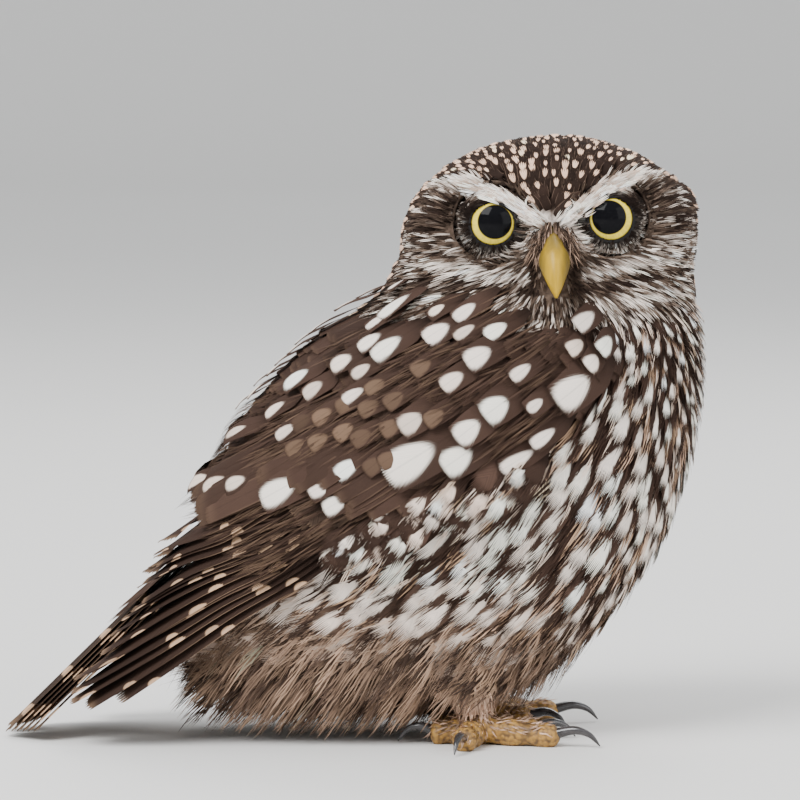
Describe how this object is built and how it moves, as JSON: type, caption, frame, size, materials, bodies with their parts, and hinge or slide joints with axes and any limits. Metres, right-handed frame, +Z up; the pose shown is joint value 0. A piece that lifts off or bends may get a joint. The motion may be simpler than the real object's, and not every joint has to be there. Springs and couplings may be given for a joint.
{
  "type": "little owl model",
  "caption": "Life-size still model of a little owl standing on both feet, with its wings folded and its head turned to look over its right side.",
  "frame": {"origin": "on the floor under the middle of the owl's box, level with the soles", "axes": "+X where the breast points, +Y the owl's left, +Z up; the face looks along -Y"},
  "size_m": [0.1652, 0.0886, 0.1412],
  "materials": {
    "head_plumage": "short soft feathers, dark brown with small pale spots",
    "face_plumage": "short soft feathers, grey-brown and off-white",
    "breast_plumage": "loose soft feathers, brown with large off-white drops",
    "wing_feathers": "smooth vanes, dark brown with white spots",
    "tail_feathers": "smooth vanes, dark brown with pale bars",
    "leg_plumage": "short hair-like feathers, cream",
    "toe_skin": "small granular scales, dull yellow-brown",
    "claw": "glossy dark grey horn",
    "bill": "satin yellow-olive horn",
    "eye": "clear and wet, pale yellow iris with a black pupil",
    "lid": "bare black skin"
  },
  "bodies": {
    "root": {"head": "head_plumage", "neck": "face_plumage", "torso": "breast_plumage", "eye_left": "eye", "eye_right": "eye", "eyelid_left": "lid", "eyelid_right": "lid", "bill_upper": "bill", "bill_lower": "bill", "wing_left": "wing_feathers", "wing_right": "wing_feathers", "tail": "tail_feathers", "leg_left": "leg_plumage", "leg_right": "leg_plumage", "foot_left": "toe_skin", "foot_right": "toe_skin", "claw_left_hallux": "claw", "claw_left_inner": "claw", "claw_left_middle": "claw", "claw_left_outer": "claw", "claw_right_hallux": "claw", "claw_right_inner": "claw", "claw_right_middle": "claw", "claw_right_outer": "claw"}
  },
  "joints": []
}
